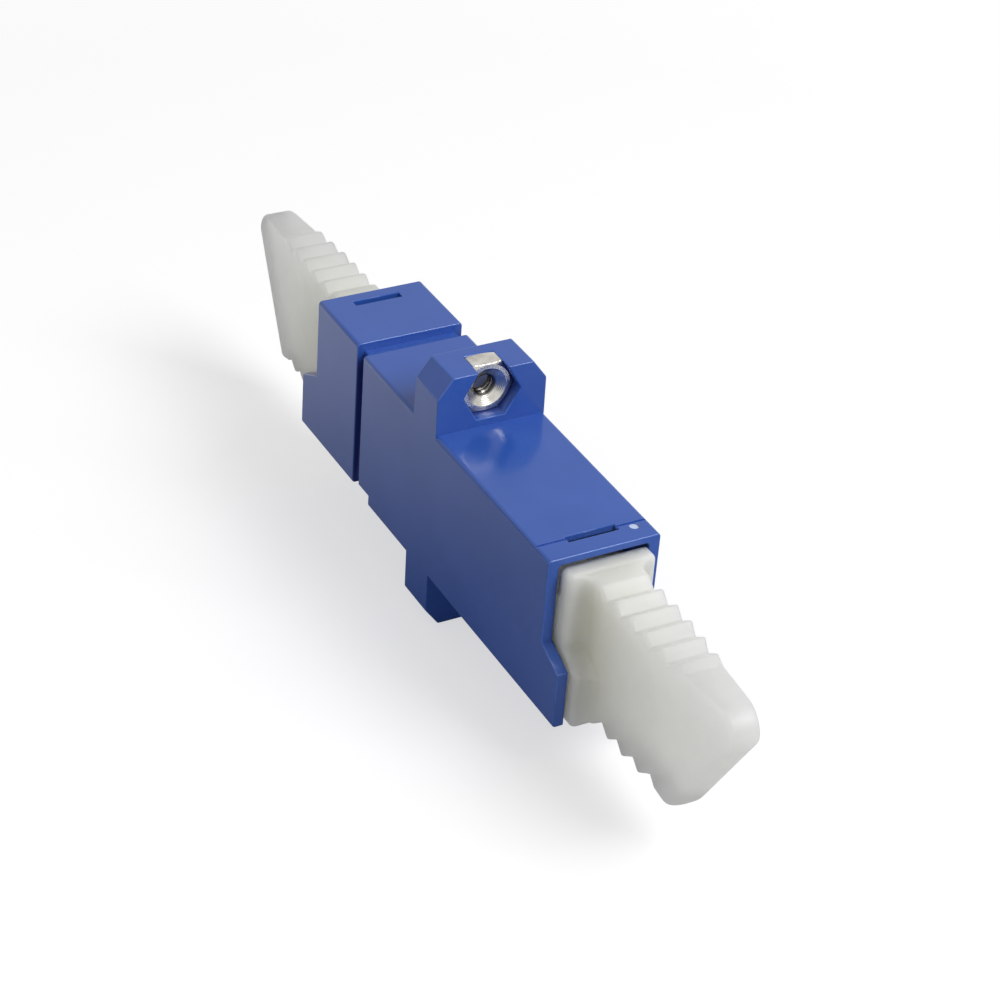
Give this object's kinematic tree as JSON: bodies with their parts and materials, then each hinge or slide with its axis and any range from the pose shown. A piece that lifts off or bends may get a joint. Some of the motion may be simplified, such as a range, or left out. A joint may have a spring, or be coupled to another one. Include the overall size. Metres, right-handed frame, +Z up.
{
  "type": "fibre optic coupler",
  "caption": "Simplex LSH fibre coupler: slim blue housing with a panel flange and captive nuts, a port at each end and white finned dust plugs that pull off.",
  "frame": {"origin": "on the ferrule axis, in the plane of the flange face that seats on the panel, midway between the two screw holes", "axes": "+X across the width, +Y along the ports from the front port toward the rear port, +Z up through the upper screw hole"},
  "size_m": [0.009, 0.0751, 0.022],
  "materials": {
    "blue_plastic": "smooth moulded blue plastic with a soft gloss",
    "holder_plastic": "dark moulded plastic",
    "zirconia": "polished white zirconia ceramic",
    "nut_metal": "bright nickel plate",
    "plug_plastic": "milky soft plastic, slightly translucent"
  },
  "bodies": {
    "coupler": {"main_housing": "blue_plastic", "rear_housing": "blue_plastic", "front_sleeve_holder": "holder_plastic", "rear_sleeve_holder": "holder_plastic", "alignment_sleeve": "zirconia", "upper_nut": "nut_metal", "lower_nut": "nut_metal"},
    "front_plug": {"front_dust_plug": "plug_plastic"},
    "rear_plug": {"rear_dust_plug": "plug_plastic"}
  },
  "joints": [
    {"name": "front_plug_pull", "type": "slide", "parent": "coupler", "child": "front_plug", "axis": [0, -1, 0], "range_m": [0, 0.03]},
    {"name": "rear_plug_pull", "type": "slide", "parent": "coupler", "child": "rear_plug", "axis": [0, 1, 0], "range_m": [0, 0.03]}
  ]
}
